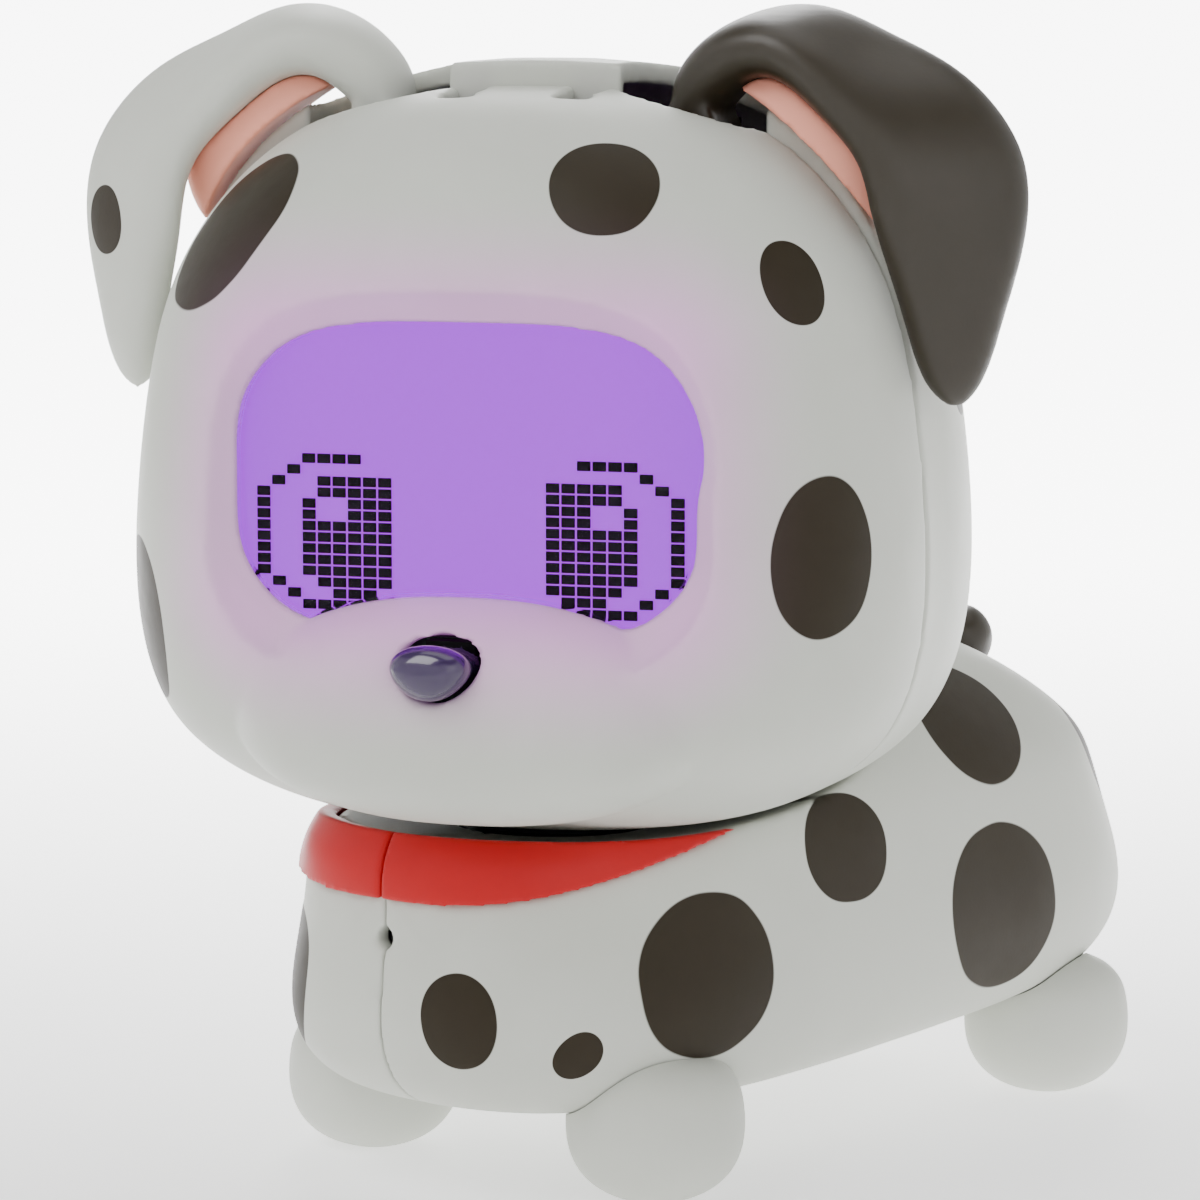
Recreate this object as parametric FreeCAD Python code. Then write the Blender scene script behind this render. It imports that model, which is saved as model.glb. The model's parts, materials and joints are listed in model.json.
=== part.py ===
import FreeCAD, Part
import math
import os

# Robot dog toy, in millimetres.  The dog faces -Y, its left side is +X, and it stands on z = 0.
# Body parts are drawn level and tilted a little nose-down.  Head parts are drawn facing -Y about
# the neck axis and turned to the rest pose, so left and right stay mirror images in the source.

os.makedirs("parts", exist_ok=True)

V = FreeCAD.Vector
X, Y, Z = V(1, 0, 0), V(0, 1, 0), V(0, 0, 1)

# Driving dimensions
WALL = 2.2            # moulded shell thickness
GAP = 0.3             # running gap between parts that move
FIT = 0.1             # gap between parts that are only fitted together
NECK_Y = -28.0        # the neck axis stands here
HEAD_YAW = 23.0       # the head looks this far to the dog's left at rest
BODY_TILT = 2.5       # the body rises this much towards the tail
MIDDLE = V(1.22, -7.63, 0)   # middle of the finished toy's footprint, moved to the origin
FOOT_X, FOOT_Y = 19.9, 35.1
FOOT_R = 9.2
POLE_POWER = 2.3      # every rounded form is nearly elliptical close to its poles

HEAD = dict(low=37.5, mid=64.5, top=115.5, half=42.4, front=-36.5, back=36.0, top_y=0.0,
            power=2.8, rear_power=3.3, below=2.8, side=2.8, fore=3.0, aft=2.5)
CROWN = dict(HEAD, top=118.0)   # the rear shell stands a little higher than the front one
MUZZLE = dict(low=40.5, mid=51.0, top=65.0, half=25.5, front=-41.0, back=-8.0, top_y=-22.0,
              power=2.3, rear_power=2.3, below=2.2, side=2.2, fore=2.3, aft=2.3)
BODY = dict(low=6.7, mid=19.0, top=51.4, half=27.0, front=-54.5, back=54.5, top_y=16.0,
            power=3.0, rear_power=4.0, below=3.2, side=2.4, fore=3.8, aft=2.5)
FOOT = dict(low=-0.4, mid=7.6, top=15.6, half=FOOT_R, front=-FOOT_R, back=FOOT_R, top_y=0.0,
            power=2.1, rear_power=2.1, below=2.2, side=2.8, fore=2.8, aft=2.8)

SCREEN_Y = -30.0      # front face of the screen window, from the neck axis
SCREEN_Z = 76.0
SCREEN_HALF_W, SCREEN_HALF_H = 24.4, 15.8
EAR_PIVOT = V(17.0, -4.0, 110.2)
TAIL_PIVOT = V(0, 39.0, 37.2)
TAIL_LEAN = 0.85      # how far the tail leans back for its rise
NOSE_Z = 57.9


# Helpers

def box(x0, x1, y0, y1, z0, z1):
    return Part.makeBox(x1 - x0, y1 - y0, z1 - z0, V(x0, y0, z0))


def rod(start, way, length, radius):
    return Part.makeCylinder(radius, length, start, way)


def tube(start, way, length, outer, inner):
    core = rod(start - way * 1.0, way, length + 2.0, inner)
    return rod(start, way, length, outer).cut(core)


def joined(shapes):
    whole = shapes[0]
    for shape in shapes[1:]:
        whole = whole.fuse(shape)
    return whole.removeSplitter()


def mirrored(shape):
    return shape.mirror(V(0, 0, 0), X)


def smooth_wire(points):
    """Closed smooth wire through the points, with the same spacing of knots on every wire."""
    curve = Part.BSplineCurve()
    knots = [i / len(points) for i in range(len(points) + 1)]
    curve.interpolate(Points=points, PeriodicFlag=True, Parameters=knots)
    return Part.Wire([curve.toShape()])


def loop(centre, u, v, a, b, power, far_power=None, count=20):
    """Closed superellipse wire about centre, half axes a along u and b along v.

    The half on the +v side may be squarer or rounder, as far_power says.
    """
    points = []
    for i in range(count):
        angle = 2 * math.pi * i / count
        c, s = math.cos(angle), math.sin(angle)
        n = far_power if far_power and s > 0 else power
        reach = (abs(c / a) ** n + abs(s / b) ** n) ** (-1 / n)
        points.append(centre + u * (reach * c) + v * (reach * s))
    return smooth_wire(points)


def fall(t, power):
    """How wide a superellipse still is at the fraction t of its height."""
    return max(1e-4, 1 - abs(t) ** power) ** (1 / power)


def egg(form, inset=0.0, levels=11):
    """Rounded solid lofted through level superellipses, with a small flat at each pole."""
    low, mid, top = form["low"] + inset, form["mid"], form["top"] - inset
    half, front, back = form["half"] - inset, form["front"] + inset, form["back"] - inset
    sections = []
    for i in range(levels + 1):
        angle = 0.97 * math.pi * (i / levels - 0.5)
        upper = angle > 0
        t = abs(math.sin(angle)) ** (2 / (form["side"] if upper else form["below"]))
        blend = t ** 3
        power = form["power"] * (1 - blend) + POLE_POWER * blend
        rear_power = form["rear_power"] * (1 - blend) + POLE_POWER * blend
        if upper:
            height = mid + (top - mid) * t
            width = half * fall(t, form["side"])
            y0 = form["top_y"] + (front - form["top_y"]) * fall(t, form["fore"])
            y1 = form["top_y"] + (back - form["top_y"]) * fall(t, form["aft"])
        else:
            shrink = fall(t, form["below"])
            height = mid - (mid - low) * t
            width = half * shrink
            y0 = (front + back) / 2 - (back - front) / 2 * shrink
            y1 = (front + back) / 2 + (back - front) / 2 * shrink
        centre = V(0, (y0 + y1) / 2, height)
        sections.append(loop(centre, X, Y, width, (y1 - y0) / 2, power, rear_power))
    return Part.makeLoft(sections, True, False)


def tilted(shape):
    """Body parts: drawn level, then tipped nose-down about the line under the neck."""
    turned = shape.copy()
    turned.rotate(V(0, NECK_Y, 0), X, BODY_TILT)
    return turned


def on_neck(shape):
    """Parts drawn about the neck axis, moved to where the neck stands."""
    moved = shape.copy()
    moved.translate(V(0, NECK_Y, 0))
    return moved


def turned_head(shape):
    """Head parts: drawn facing -Y about the neck axis, then turned to the rest pose."""
    turned = shape.copy()
    turned.rotate(V(0, 0, 0), Z, HEAD_YAW)
    return on_neck(turned)


def save(name, shape):
    placed = shape.copy()
    placed.translate(MIDDLE * -1)
    placed.exportStep("parts/" + name + ".step")


# Neck bowl: the room the turning head sweeps above the body

def bowl(grow):
    """Solid of revolution about the neck axis that holds every turned position of the head."""
    a, b = HEAD["half"], -HEAD["front"]
    q = 2 * HEAD["power"] / (HEAD["power"] - 2)
    sweep = (a ** q + b ** q) ** (1 / q)
    depth = HEAD["mid"] - HEAD["low"]
    rim = V(sweep + grow, 0, HEAD["mid"])
    points = [rim]
    steps = 9
    for i in range(1, steps + 1):
        t = math.sin(math.pi / 2 * i / steps) ** (2 / HEAD["below"])
        radius = sweep * fall(t, HEAD["below"]) if i < steps else 0.0
        points.append(V(radius + grow if i < steps else 0.0, 0, HEAD["mid"] - depth * t - grow * t))
    curve = Part.BSplineCurve()
    curve.interpolate(points)
    close = Part.makePolygon([points[-1], V(0, 0, HEAD["mid"]), rim])
    face = Part.Face(Part.Wire([curve.toShape()] + close.Edges))
    return on_neck(face.revolve(V(0, 0, 0), Z, 360))


# Body shells, collar and feet

BODY_SCREWS = [(-45.0, 17.5), (45.0, 19.0), (26.0, 42.0), (-46.0, 31.0)]
DOOR_X, DOOR_Y = 18.2, 24.6
FLOOR_Z = BODY["low"]
SWITCH_Y = 33.0
TAG_Z = 27.8


def foot_places():
    for side in (1, -1):
        for end in (-1, 1):
            yield V(side * FOOT_X, end * FOOT_Y, 0)


def tag_diamond():
    """Low raised diamond on the chest, moulded in both halves."""
    plate = box(-3.7, 3.7, -55.0, -53.0, -3.7, 3.7)
    plate.rotate(V(0, 0, 0), Y, 45)
    plate.translate(V(0, 0, TAG_Z))
    return plate


def left_skin():
    """Left half of the body skin with the floor of the neck bowl, mirrored for the right."""
    left = box(0.05, 60, -90, 90, -5, 90)
    solid = tilted(egg(BODY)).common(left).cut(bowl(0.8))
    room = tilted(egg(BODY, WALL)).cut(bowl(3.0))
    groove = collar_slab(FIT).common(left).cut(tilted(egg(BODY, 1.0)))
    return solid.cut(room).cut(groove)


def body_half(skin, side):
    """One half of the body with its screw bosses and openings."""
    near = box(0.05, 60, -90, 90, -5, 90)
    if side < 0:
        near = mirrored(near)
    inside = tilted(egg(BODY, 1.2))
    for y, z in BODY_SCREWS:
        boss = tilted(rod(V(side * 0.05, y, z), X * side, BODY["half"], 3.1))
        skin = skin.fuse(boss.common(inside))
    skin = skin.fuse(tag_diamond().common(near))
    openings = [rod(V(0, NECK_Y, 30), Z, 12, 10.5)]
    openings.append(tilted(box(-DOOR_X - GAP, DOOR_X + GAP, -DOOR_Y - GAP, DOOR_Y + GAP, 6, FLOOR_Z + 3.4)))
    openings.append(tilted(box(-4.6, 4.6, SWITCH_Y - 2.1, SWITCH_Y + 2.1, 6, FLOOR_Z + 3.0)))
    openings.append(tail_slot())
    for y, z in BODY_SCREWS:
        if side < 0:
            openings.append(tilted(rod(V(-30, y, z), X, 26.3, 2.3)))
        openings.append(tilted(rod(V(-5, y, z), X, 12.0, 1.15)))
    for foot_place in foot_places():
        openings.append(rod(V(foot_place.x, foot_place.y, 5), Z, 15, 3.1))
    openings.append(rod(V(0, -60, TAG_Z), Y, 9, 1.15))
    return largest(skin.cut(openings))


def collar_slab(extra):
    """Leaning slice of space that the collar band lies in, ending behind the neck."""
    slab = box(-40, 40, -40, 20.5 + extra, -3.7 - extra, 3.7 + extra)
    slab.rotate(V(0, 0, 0), X, 12.0)
    slab.translate(V(0, NECK_Y, 41.6))
    return slab


def collar_half():
    """Left half of the raised band round the neck, cut away above by the room for the head."""
    left = box(0.05, 60, -90, 90, -5, 90)
    grown = tilted(egg(BODY, -0.9)).common(collar_slab(0.0)).common(left)
    return largest(grown.cut(tilted(egg(BODY, 0.8))).cut(bowl(0.8)))


def foot(place):
    """Rounded foot with a spigot that goes up into the body."""
    dome = egg(FOOT)
    dome.translate(place)
    dome = dome.cut(box(-60, 60, -80, 80, -3, 0.0))
    dome = dome.cut(tilted(egg(BODY, -0.12)))
    spigot = rod(V(place.x, place.y, 6), Z, 12.5, 3.0)
    hole = rod(V(place.x, place.y, 7), Z, 15, 0.85)
    return largest(dome).fuse(spigot).cut(hole)


def largest(shape):
    return sorted(shape.Solids, key=lambda solid: solid.Volume)[-1]


def foot_screws():
    """One screw down into each foot from inside the body."""
    screws = []
    for place in foot_places():
        shank = rod(V(place.x, place.y, 9.5), Z, 9.1, 0.8)
        screws.append(shank.fuse(rod(V(place.x, place.y, 18.6), Z, 1.4, 1.9)))
    return Part.makeCompound(screws)


def body_screws():
    screws = []
    for y, z in BODY_SCREWS:
        shank = rod(V(-3.8, y, z), X, 10.4, 1.1)
        head = rod(V(-6.0, y, z), X, 2.2, 2.15).cut(box(-6.4, -5.2, y - 1.4, y + 1.4, z - 0.25, z + 0.25))
        screws.append(tilted(head.fuse(shank)))
    return Part.makeCompound(screws)


def chest_sensor():
    """Small clear dome sensor behind the hole in the chest tag."""
    lens = Part.makeSphere(1.0, V(0, -52.6, TAG_Z))
    return lens.fuse(rod(V(0, -52.6, TAG_Z), Y, 2.2, 1.0))


# Battery bay, door and switch

CELL_R, CELL_LENGTH = 5.25, 44.5
CELL_PITCH = 11.1
CELL_Z = FLOOR_Z + 9.0
BAY_X, BAY_Y = 17.0, 23.7
BAY_TOP = FLOOR_Z + 15.4
BOARD_Z = BAY_TOP + 3.6


def battery_box():
    """Open-bottomed tray that holds the three cells, with ribs between them."""
    outside = box(-BAY_X - 1.3, BAY_X + 1.3, -BAY_Y - 1.3, BAY_Y + 1.3, FLOOR_Z + 4.6, BAY_TOP + 1.4)
    tray = outside.cut(box(-BAY_X, BAY_X, -BAY_Y, BAY_Y, 0, BAY_TOP))
    for side in (-0.5, 0.5):
        rib = box(side * CELL_PITCH - 0.4, side * CELL_PITCH + 0.4, -20, 20, CELL_Z + 4.2, BAY_TOP + 0.1)
        tray = tray.fuse(rib)
    for x in (-14, 14):
        for y in (-6, 20):
            tray = tray.fuse(rod(V(x, y, BAY_TOP + 1.3), Z, BOARD_Z - BAY_TOP - 1.4, 1.6))
    return tilted(tray)


def cell_x():
    return [-CELL_PITCH, 0.0, CELL_PITCH]


def battery(x, way):
    """One AAA cell with its button end towards way."""
    start = V(x, -way * CELL_LENGTH / 2, CELL_Z)
    can = rod(start, Y * way, CELL_LENGTH - 0.8, CELL_R)
    button = rod(start, Y * way, CELL_LENGTH, 1.9)
    return tilted(can.fuse(button))


def contact_plates():
    """Spring-steel plates at both ends of the bay."""
    plates = []
    for end in (-1, 1):
        for x in cell_x():
            y = end * (BAY_Y - 0.35)
            plates.append(tilted(box(x - 4, x + 4, y - 0.2, y + 0.2, CELL_Z - 4, CELL_Z + 4)))
    return Part.makeCompound(plates)


def contact_springs():
    """Coil contacts pressed by the flat end of each cell."""
    springs = []
    for x, way in zip(cell_x(), (1, -1, 1)):
        y = -way * (BAY_Y - 0.2)
        coil = [tube(V(x, -way * (CELL_LENGTH / 2 + 0.12) - way * 0.28 * i, CELL_Z), Y * -way, 0.22,
                     3.2 - 0.2 * i, 2.6 - 0.2 * i) for i in range(3)]
        springs.extend(tilted(turn) for turn in coil)
    return Part.makeCompound(springs)


def battery_door():
    """Curved hatch flush with the belly, with a rim and a screw boss."""
    shell = egg(BODY).cut(egg(BODY, 1.9))
    hatch = shell.common(box(-DOOR_X, DOOR_X, -DOOR_Y, DOOR_Y, 5, FLOOR_Z + 3.2))
    hatch = hatch.cut(rod(V(0, DOOR_Y - 5.5, 5), Z, 10, 1.5))
    for i in range(5):
        y = -DOOR_Y + 5.0 + 1.6 * i
        hatch = hatch.cut(box(-5, 5, y, y + 0.7, FLOOR_Z - 2, FLOOR_Z + 0.5))
    return tilted(hatch)


def door_screw():
    """Captive screw that holds the hatch shut."""
    place = V(0, DOOR_Y - 5.5, FLOOR_Z + 0.35)
    head = rod(place, Z, 1.3, 1.4)
    cross = box(-1.0, 1.0, place.y - 0.2, place.y + 0.2, place.z - 0.1, place.z + 0.6)
    cross = cross.fuse(box(-0.2, 0.2, place.y - 1.0, place.y + 1.0, place.z - 0.1, place.z + 0.6))
    return tilted(head.fuse(rod(place, Z, 3.0, 0.8)).cut(cross))


def switch_housing():
    shell = box(-8, 8, SWITCH_Y - 3.6, SWITCH_Y + 3.6, FLOOR_Z + 3.7, FLOOR_Z + 8.0)
    slot = box(-5.2, 5.2, SWITCH_Y - 1.6, SWITCH_Y + 1.6, FLOOR_Z, FLOOR_Z + 6.8)
    return tilted(shell.cut(slot))


def power_switch():
    """Slide knob, drawn at its on position."""
    stem = box(-0.4, 3.4, SWITCH_Y - 1.2, SWITCH_Y + 1.2, FLOOR_Z + 0.2, FLOOR_Z + 6.3)
    for i in range(3):
        stem = stem.cut(box(0.4 + 1.0 * i, 0.8 + 1.0 * i, SWITCH_Y - 2, SWITCH_Y + 2, FLOOR_Z, FLOOR_Z + 0.6))
    return tilted(stem)


# Electronics in the body


def main_board():
    board = box(-17, 17, -9, 38, BOARD_Z, BOARD_Z + 1.2)
    for x in (-14, 14):
        for y in (-6, 35):
            board = board.cut(rod(V(x, y, BOARD_Z - 1), Z, 4, 1.2))
    return tilted(board)


def board_chips():
    z = BOARD_Z + 1.25
    chips = [box(-5, 5, 2, 12, z, z + 1.4)]
    chips.append(box(-13, -8, 16, 24, z, z + 1.1))
    chips.append(box(8, 13, 14, 20, z, z + 1.8))
    chips.append(rod(V(10, 28, z), Z, 5.0, 2.6))
    chips.append(box(-12, -2, 29, 33, z, z + 4.0))
    return Part.makeCompound([tilted(chip) for chip in chips])


def battery_leads():
    """Two insulated leads from the bay up to the main board."""
    leads = []
    for side in (-1, 1):
        x = side * (BAY_X + 2.3)
        up = rod(V(x, 18, FLOOR_Z + 8), Z, BOARD_Z + 2.6 - FLOOR_Z - 8, 0.6)
        turn = Part.makeSphere(0.6, V(x, 18, BOARD_Z + 2.6))
        over = rod(V(x, 18, BOARD_Z + 2.6), X * -side, 4.0, 0.6)
        leads.append(tilted(up.fuse(turn).fuse(over)))
    return Part.makeCompound(leads)


# Neck

def neck_seat():
    """Fixed bearing ring in the body that the head spindle turns in."""
    collar = tube(V(0, 0, 32.0), Z, 4.6, 10.3, 8.05)
    flange = tube(V(0, 0, 32.0), Z, 1.5, 13.5, 8.05)
    return on_neck(collar.fuse(flange))


def neck_spindle():
    """Hollow spindle fixed to the head, with a flange inside the head."""
    stem = tube(V(0, 0, 30.2), Z, 12.2, 8.0, 5.4)
    flange = tube(V(0, 0, 40.9), Z, 1.5, 12.5, 5.4)
    spindle = stem.fuse(flange)
    for i in range(3):
        angle = math.radians(120 * i)
        spindle = spindle.cut(rod(V(6.7 * math.cos(angle), 6.7 * math.sin(angle), 29), Z, 6, 0.6))
    return turned_head(spindle)


def neck_retainer():
    """Washer screwed under the spindle so that the head can't lift off."""
    washer = tube(V(0, 0, 28.6), Z, 1.5, 12.0, 5.4)
    for i in range(3):
        angle = math.radians(120 * i)
        washer = washer.cut(rod(V(6.7 * math.cos(angle), 6.7 * math.sin(angle), 28), Z, 3, 0.7))
    return turned_head(washer)


def neck_screws():
    screws = []
    for i in range(3):
        angle = math.radians(120 * i)
        place = V(6.7 * math.cos(angle), 6.7 * math.sin(angle), 27.5)
        screws.append(turned_head(rod(place, Z, 1.0, 1.25).fuse(rod(place, Z, 6.0, 0.58))))
    return Part.makeCompound(screws)


def neck_washer():
    """Spring washer that gives the head its turning friction."""
    return on_neck(tube(V(0, 0, 30.45), Z, 1.4, 11.6, 8.5))


def neck_cable():
    """Round cable up the neck axis, so that it stays still while the head turns."""
    return on_neck(rod(V(0, 0, 30.0), Z, 22.0, 2.2))


def cable_socket():
    """Socket under the head board that the neck cable's plug faces."""
    return turned_head(box(-5, 5, -4, 4, 52.6, 57.0))


# Head shells

HEAD_SCREWS = [(-31.0, 60.0), (31.0, 60.0), (-25.0, 96.0), (25.0, 96.0)]
PARTING = -7.0
SLOT_X = 6.3


def screen_loop(y, grow):
    return loop(V(0, y, SCREEN_Z), X, Z, SCREEN_HALF_W + grow, SCREEN_HALF_H + grow, 3.4)


def screen_plate(y0, y1, grow):
    face = Part.Face(screen_loop(y0, grow))
    return face.extrude(V(0, y1 - y0, 0))


def screen_pocket():
    """Dished surround, deepest at the window and fading out on the face."""
    rings = [(SCREEN_Y + 0.2, 0.5), (SCREEN_Y - 0.7, 1.3), (SCREEN_Y - 2.6, 3.0)]
    rings += [(SCREEN_Y - 4.6, 4.0), (SCREEN_Y - 14.0, 7.0)]
    return Part.makeLoft([screen_loop(y, grow) for y, grow in rings], True, False)


def nose_loop(y, grow):
    """Rounded triangle outline of the nose, wide side up."""
    points = []
    for i in range(18):
        angle = 2 * math.pi * i / 18
        c, s = math.cos(angle), math.sin(angle)
        width = (4.1 + grow) * c * (1.0 + 0.22 * s)
        points.append(V(width, y, NOSE_Z + (2.9 + grow) * s))
    return smooth_wire(points)


def ear_socket(side):
    """Oval well for an ear root, longer on the inner side for its tilt as the ear lifts."""
    centre = V(EAR_PIVOT.x + 0.2, EAR_PIVOT.y, EAR_PIVOT.z - 4.4)
    room = Part.Face(loop(centre, X, Y, 8.0, 7.9, 2.3)).extrude(Z * 16)
    return room if side > 0 else mirrored(room)


def front_shell():
    """Face half of the head with the muzzle, the screen surround and the nose hole."""
    outer = egg(HEAD)
    face = outer.cut(egg(HEAD, WALL)).common(box(-60, 60, -60, PARTING, 0, 140))
    surround = screen_plate(-60, SCREEN_Y + 1.6, 4.8).common(outer)
    muzzle = egg(MUZZLE)
    face = face.fuse(surround).cut(screen_pocket()).cut(screen_plate(SCREEN_Y - 2, SCREEN_Y + 2, 0.12))
    snout = muzzle.common(box(-60, 60, -60, SCREEN_Y + 1.6, 0, 140))
    hollow = egg(MUZZLE, WALL).common(box(-60, 60, -60, SCREEN_Y + 1.6, 0, 58.4))
    hollow = hollow.fuse(box(-6.4, 6.4, -34.6, SCREEN_Y + 2, 49, 60.8))
    face = face.fuse(snout).cut(hollow)
    bosses = [rod(V(x, -24, z), Y, PARTING + 24, 3.4) for x, z in HEAD_SCREWS]
    for boss in bosses:
        face = face.fuse(boss.common(outer))
    openings = [Part.Face(nose_loop(-60, 0.28)).extrude(V(0, 26, 0))]
    openings += [rod(V(0, 0, 30), Z, 14, 8.3)]
    openings += [box(side * SLOT_X - 1.7, side * SLOT_X + 1.7, PARTING - 7.6, 0, 104, 130) for side in (-1, 1)]
    openings += [ear_socket(1), ear_socket(-1)]
    openings += [rod(V(x, -22, z), Y, 20, 1.0) for x, z in HEAD_SCREWS]
    return turned_head(largest(face.cut(openings)))


def rear_shell():
    """Back half of the head, a little taller, with a rim at the parting line."""
    outer = egg(CROWN)
    back = box(-60, 60, PARTING + 0.1, 60, 0, 140)
    shell = outer.cut(egg(CROWN, WALL)).common(back)
    rim = outer.cut(egg(HEAD, 5.0)).common(box(-60, 60, PARTING + 0.1, PARTING + 1.9, 98, 140))
    shell = shell.fuse(rim)
    for x, z in HEAD_SCREWS:
        shell = shell.fuse(rod(V(x, PARTING + 0.1, z), Y, 40, 3.4).common(outer))
    openings = [rod(V(0, 0, 30), Z, 14, 8.3), ear_socket(1), ear_socket(-1)]
    for x, z in HEAD_SCREWS:
        openings.append(rod(V(x, PARTING + 8, z), Y, 50, 2.5))
        openings.append(rod(V(x, PARTING - 1, z), Y, 12, 1.25))
    return turned_head(largest(shell.cut(openings)))


def head_screws():
    screws = []
    for x, z in HEAD_SCREWS:
        place = V(x, PARTING - 5, z)
        head = rod(V(x, PARTING + 8.05, z), Y, 2.0, 2.3)
        slot = box(x - 1.5, x + 1.5, PARTING + 9.2, PARTING + 11, z - 0.25, z + 0.25)
        screws.append(turned_head(rod(place, Y, 13.1, 0.95).fuse(head).cut(slot)))
    return Part.makeCompound(screws)


# Screen stack and electronics in the head

def screen_window():
    """Clear cover, cut away where the muzzle bulges up in front of it."""
    cover = screen_plate(SCREEN_Y, SCREEN_Y + 1.2, 0.0)
    return turned_head(cover.cut(egg(MUZZLE, -0.15)))


def inside_shell(shape):
    """The part of a shape that fits inside the head's skin."""
    return shape.common(egg(HEAD, WALL + 0.3))


def lcd_panel():
    return turned_head(inside_shell(box(-25.5, 25.5, SCREEN_Y + 1.8, SCREEN_Y + 3.4, 61.5, 92.4)))


def light_guide():
    return turned_head(inside_shell(box(-25.5, 25.5, SCREEN_Y + 3.5, SCREEN_Y + 6.0, 61.5, 92.4)))


def led_board():
    return turned_head(box(-24, 24, SCREEN_Y + 7.7, SCREEN_Y + 8.7, 63, 91))


def leds():
    lamps = []
    for x in (-18, -6, 6, 18):
        for z in (70, 84):
            lamps.append(turned_head(box(x - 1.7, x + 1.7, SCREEN_Y + 6.2, SCREEN_Y + 7.6, z - 1.4, z + 1.4)))
    return Part.makeCompound(lamps)


def screen_frame():
    """Frame clamped behind the surround that holds the display stack."""
    frame = inside_shell(box(-27.5, 27.5, SCREEN_Y + 2.0, SCREEN_Y + 9.0, 59.6, 94.4))
    frame = frame.cut(box(-25.8, 25.8, SCREEN_Y, SCREEN_Y + 12, 61.2, 92.8))
    return turned_head(largest(frame.cut([rod(V(x, -30, z), Y, 20, 3.7) for x, z in HEAD_SCREWS])))


def head_board():
    return turned_head(box(-21, 21, -14, -12.8, 58, 92))


def head_chips():
    chips = [box(-6, 6, -12.7, -11.2, 70, 82), box(9, 17, -12.7, -11.5, 62, 68)]
    chips += [box(-17, -10, -12.7, -9.0, 60, 66), rod(V(-14, -12.7, 84), Y, 4.5, 2.5)]
    return Part.makeCompound([turned_head(chip) for chip in chips])


def nose_board():
    return turned_head(box(-6, 6, SCREEN_Y - 1.9, SCREEN_Y - 0.9, 50, 60.4))


def nose_switch():
    """Push switch behind the nose, with a hole for its plunger."""
    case = box(-2.6, 2.6, SCREEN_Y - 4.2, SCREEN_Y - 2.0, NOSE_Z - 2.6, NOSE_Z + 2.4)
    return turned_head(case.cut(rod(V(0, SCREEN_Y - 5, NOSE_Z), Y, 2.4, 1.3)))


def nose_button():
    """Domed nose that slides in its hole, with the stem that presses the switch."""
    front = -43.6
    rings = [(-35.6, 0.0), (-41.0, 0.0), (-42.4, -0.5), (-43.2, -1.5)]
    cap = Part.makeLoft([nose_loop(y, grow) for y, grow in rings] + [Part.Vertex(0, front, NOSE_Z)], True)
    stem = rod(V(0, -35.8, NOSE_Z), Y, 1.9, 1.0)
    return turned_head(cap.fuse(stem).removeSplitter())


def speaker_frame():
    basket = tube(V(0, -1, 97.0), Z, 4.0, 12.0, 10.6)
    back = tube(V(0, -1, 95.4), Z, 1.7, 12.0, 5.8)
    return turned_head(basket.fuse(back))


def speaker_magnet():
    return turned_head(rod(V(0, -1, 91.6), Z, 3.7, 8.0))


def speaker_cone():
    """Paper cone with its domed centre."""
    cone = Part.makeCone(5.6, 10.4, 2.6, V(0, -1, 97.4))
    cone = cone.cut(Part.makeCone(5.2, 10.0, 2.61, V(0, -1, 97.7)))
    dome = Part.makeSphere(5.4, V(0, -1, 94.6)).common(box(-8, 8, -9, 7, 97.4, 101))
    return turned_head(cone.fuse(dome))


def speaker_bracket():
    """Strap across the head that the speaker is screwed to."""
    strap = box(-30, 30, 3.0, 8.0, 89.2, 91.0)
    return turned_head(strap.cut(rod(V(0, -1, 88), Z, 2, 3.0)))


# Ears

EAR_FLAP = [
    # centre x, y, z, half width, half thickness, turn of the wide side from fore-aft outwards
    (16.8, -4.0, 108.6, 5.2, 2.7, 0),
    (18.0, -4.0, 115.0, 6.0, 3.1, 0),
    (21.6, -4.2, 118.6, 7.0, 3.3, 4),
    (27.4, -4.6, 119.8, 7.8, 3.3, 14),
    (34.0, -5.4, 116.6, 8.2, 3.1, 26),
    (40.2, -6.4, 112.2, 8.7, 2.9, 40),
    (44.2, -7.2, 105.8, 9.2, 2.8, 50),
    (45.0, -7.3, 98.6, 7.7, 2.7, 54),
    (45.0, -7.2, 91.6, 5.4, 2.4, 54),
    (44.9, -6.8, 86.4, 3.6, 2.1, 54),
]
EAR_TIP = V(45.0, -6.4, 82.4)


def ear_path(index):
    here = EAR_FLAP[index]
    before = EAR_FLAP[max(index - 1, 0)]
    after = EAR_FLAP[min(index + 1, len(EAR_FLAP) - 1)]
    way = V(after[0] - before[0], after[1] - before[1], after[2] - before[2])
    return V(here[0], here[1], here[2]), way.normalize()


def ear_section(index):
    """One superellipse slice of the ear, square to its path."""
    centre, way = ear_path(index)
    half, thick, swing = EAR_FLAP[index][3:6]
    level = way.cross(Y).normalize()
    wide = Y * math.cos(math.radians(swing)) + level * math.sin(math.radians(swing))
    thin = way.cross(wide).normalize()
    return loop(centre, wide, thin, half, thick, 2.5)


def ear():
    """Folded ear: barrel on its pin, arch over the top and flap down the side of the head."""
    sections = [ear_section(i) for i in range(len(EAR_FLAP))]
    flap = Part.makeLoft(sections + [Part.Vertex(EAR_TIP)], True, False)
    barrel = rod(EAR_PIVOT + V(0, -5.4, 0), Y, 10.8, 3.5)
    bore = rod(EAR_PIVOT + V(0, -10, 0), Y, 20, 1.05)
    return barrel.fuse(flap).cut(bore)


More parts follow.
